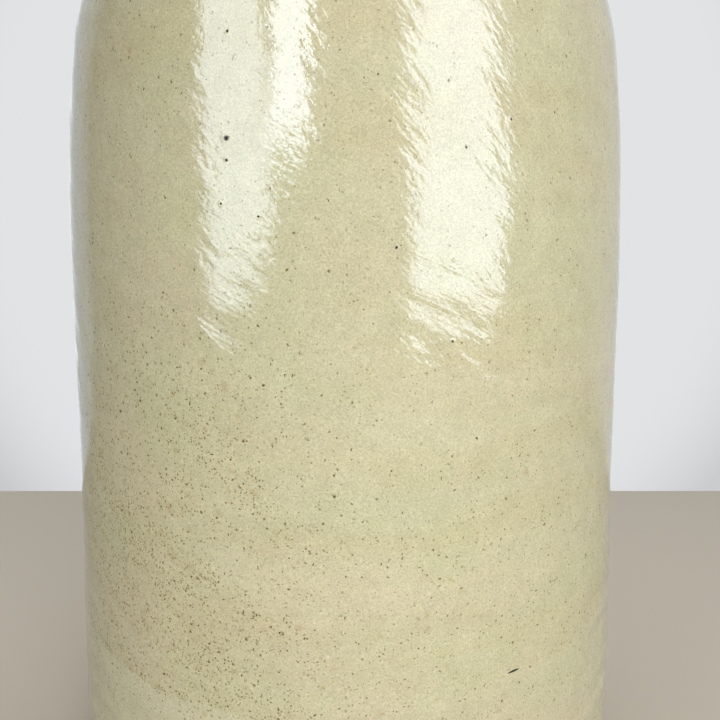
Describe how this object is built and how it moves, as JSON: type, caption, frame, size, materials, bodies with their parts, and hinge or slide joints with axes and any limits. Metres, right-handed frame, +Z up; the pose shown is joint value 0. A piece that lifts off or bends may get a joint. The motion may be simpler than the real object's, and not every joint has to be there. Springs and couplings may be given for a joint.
{
  "type": "stoneware vase",
  "caption": "Tall thrown stoneware vase with a gently tapering body, round shoulder, short neck and rolled lip, in a glossy speckled cream glaze over a bare foot ring.",
  "frame": {"origin": "centre of the foot ring's underside, on the surface the vase stands on", "axes": "+Z up along the vase's axis of revolution; +X to the right and +Y away from someone who looks at it from the front"},
  "size_m": [0.199, 0.199, 0.35],
  "materials": {
    "stoneware": "matt fired buff stoneware with iron specks",
    "slip": "matt fired slip, a little darker than the clay",
    "liner_glaze": "smooth satin liner glaze",
    "outer_glaze": "glossy cream glaze with fine brown specks, pinholes and wiped bands"
  },
  "bodies": {
    "root": {"foot_ring": "stoneware", "base_slab": "stoneware", "base_coil": "stoneware", "lower_wall": "stoneware", "upper_wall": "stoneware", "shoulder": "stoneware", "neck": "stoneware", "lip": "stoneware", "foot_slip": "slip", "base_slip": "slip", "wall_slip": "slip", "shoulder_slip": "slip", "neck_slip": "slip", "lip_slip": "slip", "inner_glaze": "liner_glaze", "outer_glaze": "outer_glaze"}
  },
  "joints": []
}
